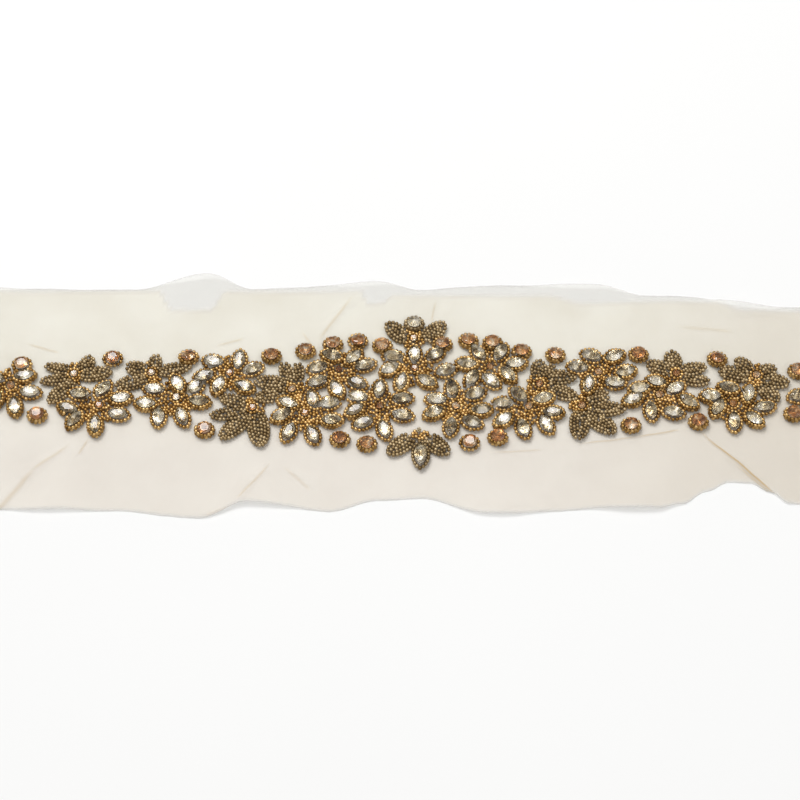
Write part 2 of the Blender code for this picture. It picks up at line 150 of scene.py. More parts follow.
# Shares of a crystal's outline, lengthwise and across, at its facets' rings and in its cup
CROWN_SHARES = (0.86, 0.84)
CROWN_HEIGHT_SHARE = 0.45
TABLE_SHARES = (0.62, 0.58)
PAVILION_SHARE = 0.66
PAVILION_UNEVEN = (0.82, 1.12)
PAVILION_STRAY = 0.3
CUP_FOOT_SHARES = (0.62, 0.5)
CUP_BELLY_SHARES = (0.8, 0.74)
CUP_RIM_SHARES = (0.95, 0.92)

# Organza
STRIP_LENGTH = 711.2
CLOTH_COLUMNS = 300
CLOTH_ROWS = 66
CLOTH_THICKNESS = 0.2
HEM_TAPER = 3.0
CLOTH_UNDER_BEADS = 0.72
CLOTH_AT_EDGE = 0.08
FLAT_HALF_WIDTH = 46.0
BEADED_HALF_WIDTH = 34.0
BEADED_HALF_LENGTH = 318.0
PALE_LINE_WIDTH = 2.2
PALE_EDGE_WIDTH = 2.5

# How much of the light the cloth and its pale margin stop, and what the weave adds or takes
CLOTH_COVER = 0.37
MARGIN_COVER = 0.26
WEAVE_COVER = 0.03
LINE_COVER = 0.4
FAR_CLOTH = (0.915, 0.885, 0.79)
FAR_CLOTH_DEEP = (0.84, 0.80, 0.69)
NEAR_CLOTH = (0.90, 0.845, 0.765)
NEAR_CLOTH_DEEP = (0.84, 0.78, 0.70)
RIGHT_CLOTH = (0.76, 0.69, 0.58)
MARGIN_CLOTH = (0.80, 0.785, 0.74)
CREASE_GOLD = (0.57, 0.41, 0.20)
THREAD_SCALE = 620.0

# Golden lines: shares of the length where one is full and where it starts to end, and its wander
GOLD_BEGUN = 0.35
GOLD_ENDING = 0.8
GOLD_WANDER = 4.0

# Strip edges: place along the strip, far edge and near edge from the beadwork's middle line
STRIP_EDGES = (
    # x, far, near
    (-356, 68.0, -74.0), (-305, 71.0, -72.5),
    (-242, 67.0, -74.5), (-165, 67.0, -76.0),
    (-122, 75.7, -79.7), (-96, 67.5, -71.5),
    (-50, 69.0, -75.5), (-22, 71.0, -69.0),
    (2, 67.0, -68.5), (38, 69.0, -77.5),
    (104, 69.5, -74.7), (133, 62.5, -74.5),
    (147, 62.0, -71.0), (161, 61.5, -63.5),
    (175, 59.2, -58.0), (186, 57.5, -58.8),
    (197, 56.0, -64.5), (207, 54.8, -71.5),
    (230, 54.5, -72.5), (290, 66.0, -71.0),
    (356, 64.0, -73.0),
)

# Places where an edge of the strip lifts off the floor; side 1 is the far edge, -1 the near edge
EDGE_LIFTS = (
    # x, side, lift, half length
    (-312, -1, 3.0, 40), (-262, 1, 3.2, 38),
    (-205, -1, 2.6, 34), (-128, 1, 3.4, 30),
    (-92, -1, 3.8, 36), (-30, 1, 2.6, 30),
    (44, -1, 2.4, 34), (96, 1, 2.8, 40),
    (122, -1, 4.0, 36), (190, 1, 3.6, 32),
    (252, -1, 3.0, 40), (312, 1, 3.4, 42),
)

# Where the far margin of the strip turns paler, greyer and more see-through, out to its edge
HEM_LINE = (
    # x, y
    (-356, 63.0), (-242, 64.5),
    (-152, 65.0), (-143, 52.0),
    (-121, 52.0), (-112, 64.5),
    (-34, 64.0), (-28, 56.0),
    (-20, 57.0), (-14, 62.0),
    (74, 61.5), (96, 56.5),
    (150, 58.0), (172, 57.0),
    (190, 51.5), (230, 51.0),
    (290, 60.0), (356, 59.0),
)

# Flowers, from flower_00 on: a heart, navette crystals and round ones, all ringed with beads
FLOWERS = (
    # x, y, petals (x, y, turn), rings (x, y)
    (-233, 3,
     ((-225.5, 9, 10), (-221.5, -1.5, -5), (-229.5, -10.5, 100), (-241, -7, 60), (-242, 8, -20)),
     ((-227.5, 16.5),)),
    (-181.7, -9.5,
     ((-180, 0.5, 50), (-193, -2.5, -10), (-169.5, -5.5, 10), (-170.5, -15.5, -8),
      (-183, -22.5, 95), (-195, -19, 55), (-199, -12, -20)), ()),
    (-138, -4.3,
     ((-137.5, 4, 120), (-150.5, 0.5, -5), (-155, -9, -5), (-147.3, -17.3, 88),
      (-134, -17.3, 115), (-124.7, -7.5, -5), (-127.5, 1.5, 45)), ()),
    (-108, 11.3,
     ((-122.5, 9, 20), (-117.5, 18.5, -10), (-102.8, 19.5, 80), (-95, 13.5, 20),
      (-114, 3, 70), (-99.5, 2, -20)), ()),
    (-45.3, 13.5,
     ((-57.5, 14.5, 20), (-57.5, 5.5, 20), (-46.5, 0.5, 120), (-35, 4.5, -20),
      (-30.5, 16, 15), (-37, 21, 45), (-49.5, 22, -15)),
     ((-49, 30),)),
    (-64.3, -14.5,
     ((-60, -6, 110), (-74, -8.5, -20), (-77.5, -16.5, 25), (-73.3, -26.8, 65),
      (-59.7, -28.4, 112), (-50.5, -8.5, 10), (-49, -19.3, 3)),
     ((-44.3, -31),)),
    (-22, -10,
     ((-22, 0.5, 80), (-34.5, -4.5, -5), (-36, -13, 35), (-31, -20.8, 20),
      (-19.2, -25.3, 108), (-9, -5.5, 3), (-9, -16, -10)),
     ((-29, -34),)),
    (-2, 14.3,
     ((-2, 23, 90), (10, 23, 35), (16, 12.5, 15), (5, 5.5, -30), (-9.5, 5, 78),
      (-16, 13.5, 30), (-14, 21.5, -5)),
     ((-20.5, 29), (14.2, 30))),
    (21.5, -10,
     ((10.5, -6, 0), (9, -14.5, 25), (19.5, 0.5, 100), (18.5, -23.5, 80),
      (32.5, -2.5, 15), (36, -12.8, 3), (30.5, -20.5, -20)),
     ((29, -33.3),)),
    (41.7, 15.5,
     ((35, 24, 125), (47.5, 24.3, 55), (28, 16.8, -5), (56.3, 17, 8),
      (31, 7.5, 60), (42, 6, -45), (51.5, 10, -50)),
     ((43.2, 31), (59.8, 25.2))),
    (63, -10,
     ((57.5, -3, -40), (48.5, -8.5, 0), (71.5, -5.5, 15), (48.5, -19, 35),
      (59.5, -24.5, 110), (72.5, -22, 120), (76.5, -14.5, 0)),
     ((45, -29.9),)),
    (103.5, 12,
     ((92, 14.8, -8), (100, 22, -20), (113, 21.5, 20), (119, 11.5, 15),
      (112.5, 4.8, -5), (97.5, 3.5, 80)), ()),
    (137.8, -2.6,
     ((136.5, 5.3, -10), (126.5, 0.8, 10), (122.5, -6, 20), (132.5, -13.5, 95),
      (147, 1, 30), (145, -14.2, -12), (154, -7.5, -35)), ()),
    (179.5, -8.5,
     ((177.5, 1.2, -15), (188.5, -2.5, 75), (167, -4, 0), (170.5, -11.5, 60),
      (179.2, -20.2, 90), (190.5, -18.5, -40), (197, -10.8, 8)), ()),
    (227, -8,
     ((217, -3.8, 15), (226, 3, 80), (237.5, -3, 20), (237, -14, -25), (227, -19, 92)), ()),
)

# Leaf sprays: a bead-ringed heart and blades filled with rows of beads; crests hold a crystal too
SPRAYS = (
    # name, x, y, blades (base x, base y, tip x, tip y, width), petals (x, y, turn), rings (x, y)
    ("leaf_spray_01", -197.4, 10.8,
     ((-199, 13, -215, 16, 6.5), (-199, 8, -217, 5.5, 7), (-198, 6, -211, -8.5, 9),
      (-192.5, 13, -187.5, 22.5, 8.5), (-194, 10, -175, 12, 9)), (), ()),
    ("leaf_spray_02", -153, 11.5,
     ((-157, 13, -168, 16, 9), (-156, 8, -173.5, 2, 9.5), (-152, 14, -150, 23.5, 7.5),
      (-149, 12, -129.5, 16, 8)), (), ()),
    ("leaf_spray_03", -72, 1,
     ((-76, 4.5, -94, 6, 9), (-76, -1, -93.5, -5.5, 9), (-73, 6, -78, 18.5, 8),
      (-70, 6, -68.5, 18, 8)), (), ()),
    ("leaf_spray_04", -94.3, -11,
     ((-99, -8, -113.5, -4.5, 8), (-98, -13, -119, -16.5, 8), (-97, -16, -112.5, -31, 10),
      (-92, -15, -88.7, -36, 12)), (), ()),
    ("leaf_spray_05", 69.5, 4.3,
     ((75, 9, 91, 8.5, 9), (75, 2, 91.5, -5, 9), (69, 9, 70, 20, 9), (73, 9, 78, 17, 7)), (), ()),
    ("leaf_spray_06", 93.3, -9.5,
     ((97, -6, 109.5, -2.5, 9), (96, -11, 118.5, -12, 9.5), (96, -14, 112, -27, 11),
      (92.7, -13, 90.5, -31.5, 11)), (), ()),
    ("leaf_spray_07", 148.3, 11,
     ((148, 15, 145, 26, 9.5), (144, 13, 131, 17.5, 9), (152, 13, 166, 15.5, 8),
      (152, 8, 167.5, 5.5, 8)), (), ()),
    ("leaf_spray_08", 194, 10,
     ((190.5, 13.5, 182.5, 20.5, 8.5), (189, 9, 172, 13, 9.5), (197, 12, 206, 14.5, 8),
      (198, 8, 213, 4, 9), (197, 4, 205, -8, 10)), (), ()),
    ("crest_far", -2.5, 34,
     ((-6, 33, -18.5, 44, 10), (4, 33, 16, 44.5, 10)),
     (), ((-2, 43.5),)),
    ("crest_near", 1, -28.5,
     ((-4, -30, -17.5, -40.5, 10), (5, -30, 17.5, -40.5, 10)),
     ((1.3, -40.8, 90),), ()),
)

# Single round crystals in bead rings, from ring_stone_01 on
RING_STONES = (
    # x, y
    (-216.5, -15.8), (-175.5, 20.3),
    (-132, 21.5), (-121, -25.2),
    (-84.3, 22.3), (-64.7, 25.5),
    (-34.6, 31.8), (29.2, 32.3),
    (79.2, 22.9), (127, 23.2),
    (172.3, 20.3), (120.6, -22.2),
    (159, -20), (218, 12.5),
    (213.5, -15),
)

# Border repeats towards the two ends of the strip
REPEATS = (
    # new name, motif repeated, shift along X
    ("flower_15", "flower_01", -86),
    ("leaf_spray_09", "leaf_spray_01", -86),
    ("ring_stone_16", "ring_stone_02", -86),
    ("leaf_spray_10", "leaf_spray_08", 46),
    ("flower_16", "flower_13", 91),
    ("leaf_spray_11", "leaf_spray_08", 91),
    ("ring_stone_17", "ring_stone_11", 91),
)

# Motifs whose round crystals are clear, where the others are champagne
CLEAR_ROUNDS = ("crest_far",)

# Motifs whose heart is a knot of gold beads under a tiny clear crystal: its place
BEAD_HEARTS = {"crest_near": (0.5, -25.4)}

# The spray with a larger navette crystal: its length and width
LARGE_CRYSTALS = {"crest_near": (14.6, 7.0)}

# Soft creases of the organza: ends, height and half width
CREASES = (
    # x0, y0, x1, y1, height, width
    (-196, -31, -240, -76, 1.1, 3.2), (-83, -46, -102, -68, 1.2, 2.8),
    (-75, -47, -60, -60, 0.9, 2.6), (152, -20, 206, -72, 1.8, 2.6),
    (-33, 66, -56, 34, 1.0, 2.6), (-19, 66, -4, 56, 0.8, 2.2),
    (21, 67, 12, 44, 0.9, 2.4), (86, -36, 70, -74, 0.6, 4.0),
    (112, 32, 128, 60, 0.7, 3.4), (-150, 30, -170, 60, 0.6, 4.2),
    (206, 24, 232, 50, 0.8, 3.0), (-268, -30, -292, -72, 0.9, 3.4),
    (-300, 28, -322, 68, 0.7, 3.0), (262, -34, 250, -70, 0.8, 2.8),
    (318, 10, 352, -34, 0.9, 3.6),
)

# Thin golden lines where the weave is doubled: ends, width, strength
GOLDEN_CREASES = (
    # x0, y0, x1, y1, width, strength
    (40, -37, 74, -36, 0.9, 0.3), (90, -33, 128, -27, 0.8, 0.45),
    (122, -28, 152, -23, 0.9, 0.5), (159, -21, 204, -67, 1.1, 0.9),
    (178, -43, 206, -71, 0.9, 0.5), (-194, -31, -216, -49, 1.5, 0.3),
    (-211, -44, -236, -77, 2.4, 0.32), (-184, -28, -190, -39, 1.2, 0.35),
    (-80, -42, -100, -68, 1.3, 0.38), (-75, -45, -58, -62, 1.6, 0.2),
    (-100, -70, -118, -76, 1.5, 0.2), (-226, 33, -204, 26, 1.3, 0.3),
    (-116, 31, -98, 36, 1.2, 0.3), (-66, 42, -56, 26, 1.2, 0.3),
    (-35, 66, -56, 34, 1.6, 0.35), (-262, 40, -240, 30, 1.2, 0.3),
    (13, 62, 10, 46, 1.0, 0.3), (150, 44, 186, 40, 2.0, 0.18),
    (-300, -34, -336, -70, 1.0, 0.4), (-262, 44, -296, 66, 1.0, 0.35),
    (262, 34, 300, 60, 1.0, 0.4), (280, -30, 330, -64, 0.9, 0.5),
)


# Repeats and neighbours


def parts(heart, petals=(), rings=(), blades=()):
    return {"heart": heart, "petals": petals, "rings": rings, "blades": blades}


def shifted(motif, shift):
    heart = motif["heart"] and (motif["heart"][0] + shift, motif["heart"][1])
    petals = tuple((x + shift, y, turn) for x, y, turn in motif["petals"])
    rings = tuple((x + shift, y) for x, y in motif["rings"])
    blades = tuple((x0 + shift, y0, x1 + shift, y1, width) for x0, y0, x1, y1, width in motif["blades"])
    return parts(heart, petals, rings, blades)


def motif_rows():
    """The parts of every motif by name."""
    motifs = {}
    for number, place in enumerate(RING_STONES, 1):
        motifs[f"ring_stone_{number:02d}"] = parts(None, rings=(place,))
    for number, (x, y, petals, rings) in enumerate(FLOWERS):
        motifs[f"flower_{number:02d}"] = parts((x, y), petals, rings)
    for name, x, y, blades, petals, rings in SPRAYS:
        motifs[name] = parts((x, y), petals, rings, blades)
    for name, source, shift in REPEATS:
        motifs[name] = shifted(motifs[source], shift)
    return motifs


class Ground:
    """What already lies on the organza, so that no bead is set into a bead or a crystal."""

    def __init__(self, stones):
        self.cells = {}
        self.stones = stones

    def add_stone(self, x, y, turn, length, width):
        self.stones.append((x, y, math.radians(turn), length, width))

    def clear_of_stones(self, x, y, own):
        for index, (sx, sy, turn, length, width) in enumerate(self.stones):
            reach = length / 2 + STONE_NEAR
            if index == own or abs(x - sx) > reach or abs(y - sy) > reach:
                continue
            u = (x - sx) * math.cos(turn) + (y - sy) * math.sin(turn)
            v = (y - sy) * math.cos(turn) - (x - sx) * math.sin(turn)
            if length == width:
                inside = math.hypot(u, v) < width / 2 + STONE_ROOM
            else:
                radius = arc_radius(length, width)
                inside = math.hypot(u, abs(v) + radius - width / 2) < radius + STONE_ROOM
            if inside:
                return False
        return True

    def cell(self, x, y):
        return int(x // GROUND_CELL), int(y // GROUND_CELL)

    def clear_of_beads(self, x, y, space):
        column, row = self.cell(x, y)
        for i in (column - 1, column, column + 1):
            for j in (row - 1, row, row + 1):
                for bx, by in self.cells.get((i, j), ()):
                    if (bx - x) ** 2 + (by - y) ** 2 < space * space:
                        return False
        return True

    def take(self, x, y, space, own=None):
        """Whether a bead has room here, and if so it is noted down; its own crystal is left out."""
        if not self.clear_of_beads(x, y, space) or not self.clear_of_stones(x, y, own):
            return False
        self.cells.setdefault(self.cell(x, y), []).append((x, y))
        return True


# Meshes


class Form:
    """Triangles of one piece, with a finish number for each and a tone for each corner."""

    def __init__(self):
        self.points = []
        self.triangles = []
        self.finishes = []
        self.tones = []
        self.count = 0

    def add(self, points, triangles, finish=0, tone=0.5):
        points = np.asarray(points, dtype=float)
        triangles = np.asarray(triangles, dtype=int)
        self.points.append(points)
        self.triangles.append(triangles + self.count)
        self.finishes.append(np.full(len(triangles), finish))
        self.tones.append(np.full(len(points), tone))
        self.count += len(points)


def new_mesh(name, form, materials, smooth):
    points = np.concatenate(form.points)
    points[:, 1] += BEADWORK_SHIFT_Y
    triangles = np.concatenate(form.triangles)
    mesh = bpy.data.meshes.new(name)
    mesh.vertices.add(len(points))
    mesh.vertices.foreach_set("co", (points * MM).ravel())
    mesh.loops.add(triangles.size)
    mesh.loops.foreach_set("vertex_index", triangles.ravel())
    mesh.polygons.add(len(triangles))
    mesh.polygons.foreach_set("loop_start", np.arange(0, triangles.size, 3))
    mesh.polygons.foreach_set("material_index", np.concatenate(form.finishes))
    mesh.polygons.foreach_set("use_smooth", np.full(len(triangles), smooth))
    tone = mesh.attributes.new("tone", "FLOAT", "POINT")
    tone.data.foreach_set("value", np.concatenate(form.tones))
    for material in materials:
        mesh.materials.append(material)
    mesh.update(calc_edges=True)
    mesh.validate()
    made = bpy.data.objects.new(name, mesh)
    bpy.context.scene.collection.objects.link(made)
    return made


def ring_walls(first, second, count):
    """Triangles between two rings of as many corners, given by the numbers of their first ones."""
    walls = []
    for index in range(count):
        after = (index + 1) % count
        walls.append((first + index, first + after, second + after))
        walls.append((first + index, second + after, second + index))
    return walls


def ring_cap(first, count, facing_up=True):
    """A fan over a ring."""
    fan = [(first, first + index, first + index + 1) for index in range(1, count - 1)]
    return fan if facing_up else [(a, c, b) for a, b, c in fan]


def bead_template():
    """A rounded seed bead with its thread along X."""
    sides = BEAD_SIDES
    points = []
    triangles = []
    for along, out in BEAD_PROFILE:
        for side in range(sides):
            angle = 2 * math.pi * (side + 0.5) / sides
            points.append((along * BEAD_LENGTH, out * BEAD_WIDTH * math.cos(angle),
                           out * BEAD_WIDTH * math.sin(angle)))
    last = len(BEAD_PROFILE) - 1
    for row in range(last):
        triangles += ring_walls((row + 1) * sides, row * sides, sides)
    triangles += ring_cap(0, sides, False)
    triangles += ring_cap(last * sides, sides)
    return np.array(points), np.array(triangles)


BEAD_POINTS, BEAD_TRIANGLES = bead_template()


def add_bead(form, x, y, z, heading, finish=0):
    """A bead that stands on its side, threaded along its heading."""
    nod = draw.uniform(-BEAD_NOD, BEAD_NOD)
    veer = draw.uniform(-BEAD_VEER, BEAD_VEER)
    turn = Euler((0.0, nod, heading + veer)).to_matrix()
    size = draw.uniform(*BEAD_SIZES)
    points = BEAD_POINTS @ (np.array(turn).T * size)
    form.add(points + np.array((x, y, z)), BEAD_TRIANGLES, finish, draw.random())


# Outlines seen from above, as lists of (u, v)


def arc_radius(length, width):
    """Radius of the two arcs of a boat shape."""
    return (length ** 2 + width ** 2) / (4 * width)


def navette(length, width, segments=8):
    """A boat shape of two arcs, its points on the long axis."""
    radius = arc_radius(length, width)
    half = math.asin(length / 2 / radius)
    shape = []
    for side in (1, -1):
        for step in range(segments):
            angle = half * (1 - 2 * step / segments) * side
            out = radius * math.cos(angle) - radius + width / 2
            shape.append((radius * math.sin(angle), side * out))
    return shape


def circle(width, count, start=0.0):
    return [(width / 2 * math.cos(2 * math.pi * (k + start) / count),
             width / 2 * math.sin(2 * math.pi * (k + start) / count)) for k in range(count)]


def navette_row(length, width, margin, steps=64, tip_steps=8):
    """The line of the bead ring round a navette crystal, closed, in small steps."""
    radius = arc_radius(length, width)
    half = math.asin(length / 2 / radius)
    drop = radius - width / 2
    reach = radius + margin
    line = []
    for side in (1, -1):
        for step in range(steps):
            angle = half * (1 - 2 * step / steps)
            line.append((side * reach * math.sin(angle), side * (reach * math.cos(angle) - drop)))
        for step in range(tip_steps):
            angle = -half - (math.pi - 2 * half) * step / tip_steps
            line.append((side * (margin * math.sin(angle) - length / 2),
                         side * margin * math.cos(angle)))
    return line


def ring_row(margin):
    """The line of the bead ring round a round crystal, drawn in at its near and far sides."""
    return [(u, v * RING_DEPTH) for u, v in circle(ROUND_WIDTH + 2 * margin, 40, draw.random())]


def spaced(line, pitch, closed=True, start=0.0, count=None):
    """Places at equal steps along a line, as (u, v, heading).

    The start is a share of a step on a closed line, and a distance on an open one.
    """
    points = line + line[:1] if closed else line
    lengths = [math.dist(a, b) for a, b in zip(points, points[1:])]
    total = sum(lengths)
    if closed:
        count = count or max(1, round(total / pitch))
        pitch = total / count
        start *= pitch
    else:
        count = int((total - start) / pitch) + 1
    places = []
    index = 0
    passed = 0.0
    for number in range(count):
        target = start + number * pitch
        while index < len(lengths) - 1 and passed + lengths[index] < target:
            passed += lengths[index]
            index += 1
        share = min(1.0, (target - passed) / max(lengths[index], 1e-9))
        a, b = points[index], points[index + 1]
        places.append((a[0] + (b[0] - a[0]) * share, a[1] + (b[1] - a[1]) * share,
                       math.atan2(b[1] - a[1], b[0] - a[0])))
    return places


def placed(u, v, x, y, turn):
    cos, sin = math.cos(math.radians(turn)), math.sin(math.radians(turn))
    return x + u * cos - v * sin, y + u * sin + v * cos


# Crystals and settings


def put(form, points, triangles, place, finish, lean, pivot):
    """Add points given about a piece's own middle, turned and leaned, to a form."""
    x, y, turn = place
    matrix = Euler((lean[0], lean[1], math.radians(turn))).to_matrix()
    about = np.array((0.0, 0.0, pivot))
    moved = (np.asarray(points) - about) @ np.array(matrix).T + about
    form.add(moved + np.array((x, y, 0.0)), triangles, finish, draw.random())


def scaled(outline, share_u, share_v, z):
    return [(u * share_u, v * share_v, z) for u, v in outline]


def between_corners(outline, share_u, share_v, z):
    """A ring of as many corners, each halfway between two of the outline."""
    count = len(outline)
    ring = []
    for index in range(count):
        a, b = outline[index], outline[(index + 1) % count]
        ring.append(((a[0] + b[0]) / 2 * share_u, (a[1] + b[1]) / 2 * share_v, z))
    return ring


def crystal(form, outline, place, girdle, table, keel, lean, finish):
    """A faceted crystal: a glass crown in its finish over a foiled pavilion in the next."""
    count = len(outline)
    edge = girdle + GIRDLE_EDGE
    points = scaled(outline, 1, 1, girdle)
    points += scaled(outline, 1, 1, edge)
    points += between_corners(outline, *CROWN_SHARES, edge + (table - girdle) * CROWN_HEIGHT_SHARE)
    points += scaled(outline, *TABLE_SHARES, table)
    low, middle, top = count, 2 * count, 3 * count
    crown = ring_walls(0, low, count)
    for index in range(count):
        after = (index + 1) % count
        crown.append((low + index, low + after, middle + index))
        crown.append((low + after, middle + after, middle + index))
        crown.append((middle + index, top + after, top + index))
        crown.append((middle + index, middle + after, top + after))
    crown += ring_cap(top, count)
    start = len(points)
    halfway = girdle - (girdle - CULET) * 0.5
    for u, v, z in between_corners(outline, PAVILION_SHARE, PAVILION_SHARE, halfway):
        share = draw.uniform(*PAVILION_UNEVEN)
        points.append((u * share, v * share, z + draw.uniform(-PAVILION_STRAY, PAVILION_STRAY)))
    points += [(max(-keel, min(keel, u)), 0.0, CULET) for u, _ in outline]
    back = []
    for index in range(count):
        after = (index + 1) % count
        back.append((index, start + index, after))
        back.append((after, start + index, start + after))
        back.append((start + index, start + count + after, start + after))
        back.append((start + index, start + count + index, start + count + after))
    put(form, points, crown + back, place, finish, lean, (girdle + table) / 2)
    form.finishes[-1][len(crown):] = finish + 1


def cup(form, outline, place, girdle, table, lean):
    """The metal cup under a crystal, from its foot to below the girdle."""
    count = len(outline)
    points = scaled(outline, *CUP_FOOT_SHARES, CUP_FOOT)
    points += scaled(outline, *CUP_BELLY_SHARES, girdle - CUP_BELLY_DROP)
    points += scaled(outline, *CUP_RIM_SHARES, girdle - CUP_RIM_DROP)
    triangles = ring_walls(0, count, count) + ring_walls(count, 2 * count, count)
    triangles += ring_cap(0, count, False)
    put(form, points, triangles, place, 0, lean, (girdle + table) / 2)


def random_lean():
    """A small lean about X and a smaller one about Y, as no crystal sits quite level."""
    about_x = draw.uniform(-TILT, TILT)
    about_y = draw.uniform(-TILT, TILT) * SIDEWAYS_SHARE
    return math.radians(about_x), math.radians(about_y)


def set_navette(crystals, settings, x, y, turn, size):
    lean = random_lean()
    outline = navette(*size)
    place = (x, y, turn)
    crystal(crystals, outline, place, GIRDLE, TABLE, NAVETTE_KEEL, lean, CLEAR)
    cup(settings, outline, place, GIRDLE, TABLE, lean)


def set_round(crystals, settings, x, y, width, finish, girdle, table, facets, back=0.0):
    lean = random_lean()
    lean = (lean[0] - math.radians(back), lean[1])
    outline = circle(width, facets, draw.random())
    crystal(crystals, outline, (x, y, 0), girdle, table, ROUND_KEEL, lean, finish)
    cup(settings, circle(width, CUP_SIDES), (x, y, 0), girdle, table, lean)


# Rows of beads


def bead_row(form, ground, places, place, z, own, finish=0, space=BEAD_SPACE):
    """Set beads at (u, v, heading) places about a piece's middle, where there is room."""
    x, y, turn = place
    for u, v, heading in places:
        bx, by = placed(u, v, x, y, turn)
        bx += draw.uniform(-BEAD_STRAY, BEAD_STRAY)
        by += draw.uniform(-BEAD_STRAY, BEAD_STRAY)
        if ground.take(bx, by, space, own):
            height = z + draw.uniform(*ROW_HEIGHTS)
            add_bead(form, bx, by, height, heading + math.radians(turn), finish)


def fill(form, ground, x, y, reach, tries, height, finish, space, depth=1.0):
    """Beads in what room is left about a place, at most the reach away."""
    for _ in range(tries):
        out = reach * math.sqrt(draw.random())
        angle = draw.uniform(0, 2 * math.pi)
        heading = draw.uniform(0, math.pi)
        bx, by = x + out * math.cos(angle), y + out * math.sin(angle) * depth
        if ground.take(bx, by, space):
            add_bead(form, bx, by, height + draw.uniform(*FILL_HEIGHTS), heading, finish)


def leaf_half_width(share, width):
    """Half the width of a blade at a share of its length, from its blunt base to its round tip."""
    if share < WIDEST:
        return width * (BASE_WIDTH + BASE_SWELL * math.sin(share / WIDEST * math.pi / 2))
    to_tip = (share - WIDEST) / (1 - WIDEST)
    return width * 0.5 * max(0.0, 1 - to_tip ** TIP_ROUNDNESS) ** 0.5


def blade_rows(form, ground, x0, y0, x1, y1, width, finish):
    """A blade filled with rows of beads that follow its outline, domed across."""
    width *= BLADE_FULLNESS
    length = math.hypot(x1 - x0, y1 - y0)
    turn = math.degrees(math.atan2(y1 - y0, x1 - x0))
    half = width / 2 - BLADE_INSET
    rows = max(1, round(half / BLADE_ROW))

    def along(share):
        return share * (length - BLADE_SHORTER) + BLADE_START

    def set_bead(u, v, heading, space, sink=0.0):
        bx, by = placed(u, v, x0, y0, turn)
        dome = BLADE_DOME * (1 - min(1.0, abs(v) / half) ** 2)
        if ground.take(bx, by, space):
            height = BEAD_MIDDLE + dome - sink + draw.uniform(*BLADE_HEIGHTS)
            add_bead(form, bx, by, height, heading + math.radians(turn), finish)

    for row in range(rows + 1):
        for side in (1, -1) if row < rows else (1,):
            line = []
            for step in range(BLADE_STEPS + 1):
                share = step / BLADE_STEPS
                out = leaf_half_width(share, width) - BLADE_INSET - row * BLADE_ROW
                if out >= 0.0 or not line:
                    line.append((along(share), side * max(0.0, out)))
            if len(line) < 3:
                continue
            start = BEAD_PITCH * (0.5 if (row + (side < 0)) % 2 else 0.0)
            for u, v, heading in spaced(line, BEAD_PITCH, False, start):
                set_bead(u, v, heading, BLADE_SPACE)
    for space, sink in ((BLADE_SPACE, 0.0), (SUNK_SPACE, SUNK_DEPTH)):
        for _ in range(BLADE_TRIES):
            share = draw.random()
            side = draw.uniform(-1, 1)
            heading = draw.uniform(-SUNK_VEER, SUNK_VEER)
            room = max(0.0, leaf_half_width(share, width) - BLADE_INSET)
            set_bead(along(share), side * room, heading, space, sink)


def bezel(form, grounds, outer, inner, place, own, finish, double, far_side=math.inf):
    """One row of beads round a crystal, or two with the upper one set in, half a bead on."""
    ground, upper = grounds
    height = BEAD_MIDDLE if double else BEAD_MIDDLE + SINGLE_ROW_RISE
    places = spaced(outer, BEAD_PITCH)
    bead_row(form, ground, places, place, height, own, finish)
    if double:
        over = [row for row in spaced(inner, BEAD_PITCH, True, 0.5, len(places)) if row[1] < far_side]
        bead_row(form, upper, over, place, BEAD_MIDDLE + UPPER_ROW_RISE, own, finish, UPPER_SPACE)


def set_heart(name, beads, crystals, settings, ground, x, y, own):
    """The middle of a flower or a spray: a small crystal in its ring, or a knot of beads."""
    if name in BEAD_HEARTS:
        set_round(crystals, settings, *BEAD_HEARTS[name], TINY_WIDTH, CLEAR, HEART_GIRDLE, HEART_TABLE,
                  HEART_FACETS)
        for space, height in ((BEAD_SPACE, BEAD_MIDDLE + KNOT_RISE), (SUNK_SPACE, BEAD_MIDDLE)):
            fill(beads, ground, x, y + KNOT_SHIFT, KNOT_REACH, KNOT_TRIES, height, GOLD, space, KNOT_DEPTH)
        return
    set_round(crystals, settings, x, y, HEART_WIDTH, CHAMPAGNE, HEART_GIRDLE, HEART_TABLE, HEART_FACETS)
    line = circle(HEART_WIDTH + 2 * ROW_MARGIN + HEART_ROW_OUT, 32)
    place = (x, y, draw.uniform(0, 360))
    bead_row(beads, ground, spaced(line, BEAD_PITCH), place, BEAD_MIDDLE + HEART_ROW_RISE, own, GOLD)


def navette_size(name):
    """Length and width of the navette crystals of a motif."""
    return LARGE_CRYSTALS.get(name, (NAVETTE_LENGTH, NAVETTE_WIDTH))


